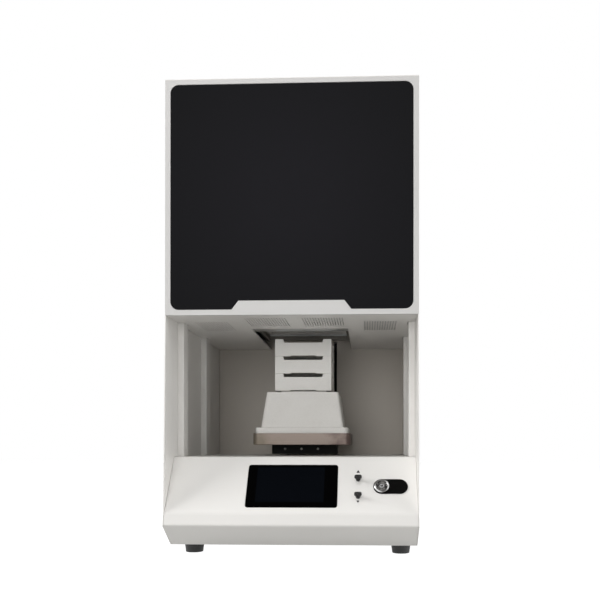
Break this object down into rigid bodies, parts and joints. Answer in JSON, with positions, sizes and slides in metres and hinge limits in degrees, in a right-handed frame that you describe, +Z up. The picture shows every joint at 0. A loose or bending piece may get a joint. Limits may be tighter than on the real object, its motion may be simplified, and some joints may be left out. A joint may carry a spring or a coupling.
{
  "type": "dental lab furnace",
  "caption": "Bench-top dental sintering furnace with black glass front, bottom-loading lift carrying a tray stack, open loading bay and sloping touch-screen console",
  "frame": {"origin": "on the surface under the feet, at the middle of the furnace's width and depth", "axes": "+X to the furnace's right as seen from the front, +Y to the rear, +Z up"},
  "size_m": [0.37, 0.4774, 0.702],
  "materials": {
    "white_enamel": "semi-gloss powder coat",
    "bay_enamel": "satin powder coat",
    "zinc_plate": "dull zinc",
    "black_glass": "polished back-printed glass",
    "screen_glass": "polished",
    "foot_rubber": "matt",
    "screw_steel": "turned",
    "module_metal": "rolled",
    "circuit_board": "solder mask",
    "switch_dark": "dark nickel",
    "plate_black": "satin",
    "ring_chrome": "polished",
    "power_cap": "spun",
    "fibre": "dry fibre board",
    "alumina": "bisque",
    "silicide": "glazed grey",
    "strap_aluminium": "braided and extruded",
    "pan_steel": "heat-tinted satin",
    "member_black": "satin black",
    "drive_steel": "ground",
    "carriage_aluminium": "machined",
    "nut_brass": "turned",
    "motor_black": "satin",
    "fan_black": "moulded",
    "guard_chrome": "plated wire",
    "transformer_iron": "varnished"
  },
  "bodies": {
    "root": {"side_panel_left": "white_enamel", "side_panel_right": "white_enamel", "top_cover": "white_enamel", "rear_cover": "white_enamel", "front_fascia": "white_enamel", "soffit_plate": "white_enamel", "console_cover": "white_enamel", "front_posts": "white_enamel", "middle_posts": "white_enamel", "bay_floor": "white_enamel", "bay_back_wall": "bay_enamel", "bottom_pan": "zinc_plate", "furnace_platform": "zinc_plate", "mouth_guard": "zinc_plate", "furnace_shell": "zinc_plate", "power_supply": "zinc_plate", "glass_panel": "black_glass", "screen_glass": "screen_glass", "feet": "foot_rubber", "casing_screws": "screw_steel", "display_module": "module_metal", "control_board": "circuit_board", "switch_bodies": "switch_dark", "power_plate": "plate_black", "power_switch_body": "ring_chrome", "mouth_seal": "fibre", "insulation_floor": "fibre", "insulation_walls": "fibre", "insulation_roof": "fibre", "thermocouple": "alumina", "element_holders": "alumina", "heating_elements": "silicide", "element_straps": "strap_aluminium", "power_controller": "strap_aluminium", "guide_rods": "drive_steel", "drive_brackets": "drive_steel", "lift_motor": "motor_black", "rear_fan": "fan_black", "mains_inlet": "fan_black", "fan_guard": "guard_chrome", "transformer": "transformer_iron"},
    "lift": {"hearth_tile": "alumina", "hearth_plug": "fibre", "plug_base": "fibre", "plug_pan": "pan_steel", "cross_member": "member_black", "cross_member_screws": "screw_steel", "lift_arms": "member_black", "lift_carriage": "carriage_aluminium", "linear_bearings": "drive_steel", "lead_nut": "nut_brass"},
    "screw": {"lead_screw": "drive_steel", "screw_coupling": "carriage_aluminium"},
    "lower_tray_body": {"tray_lower": "alumina"},
    "middle_tray_body": {"tray_middle": "alumina"},
    "upper_tray_body": {"tray_upper": "alumina"},
    "up_key": {"up_button": "switch_dark"},
    "down_key": {"down_button": "switch_dark"},
    "power_key": {"power_button": "power_cap"},
    "rotor": {"fan_rotor": "fan_black"}
  },
  "joints": [
    {"name": "lift_slide", "type": "slide", "parent": "root", "child": "lift", "axis": [0, 0, 1], "range_m": [0, 0.1685]},
    {"name": "screw_turn", "type": "hinge", "parent": "root", "child": "screw", "pos_m": [0, 0.1893, 0.2], "axis": [0, 0, 1], "range_deg": [0, 6067]},
    {"name": "lower_tray_out", "type": "slide", "parent": "lift", "child": "lower_tray_body", "axis": [0, 1, 0], "range_m": [-0.3, 0]},
    {"name": "middle_tray_out", "type": "slide", "parent": "lower_tray_body", "child": "middle_tray_body", "axis": [0, 1, 0], "range_m": [-0.1, 0]},
    {"name": "upper_tray_out", "type": "slide", "parent": "middle_tray_body", "child": "upper_tray_body", "axis": [0, 1, 0], "range_m": [-0.1, 0]},
    {"name": "up_press", "type": "slide", "parent": "root", "child": "up_key", "axis": [0, 0.8347, -0.5507], "range_m": [0, 0.0015], "stiffness_N_per_m": 400, "springref_m": -0.0015},
    {"name": "down_press", "type": "slide", "parent": "root", "child": "down_key", "axis": [0, 0.8347, -0.5507], "range_m": [0, 0.0015], "stiffness_N_per_m": 400, "springref_m": -0.0015},
    {"name": "power_press", "type": "slide", "parent": "root", "child": "power_key", "axis": [0, 0.8347, -0.5507], "range_m": [0, 0.0015], "stiffness_N_per_m": 500, "springref_m": -0.0015},
    {"name": "rotor_spin", "type": "hinge", "parent": "root", "child": "rotor", "pos_m": [0, 0.2203, 0.56], "axis": [0, 1, 0], "continuous": true}
  ],
  "couplings": [
    {"joint": "screw_turn", "follows": "lift_slide", "rad_per_m": 628.32}
  ]
}
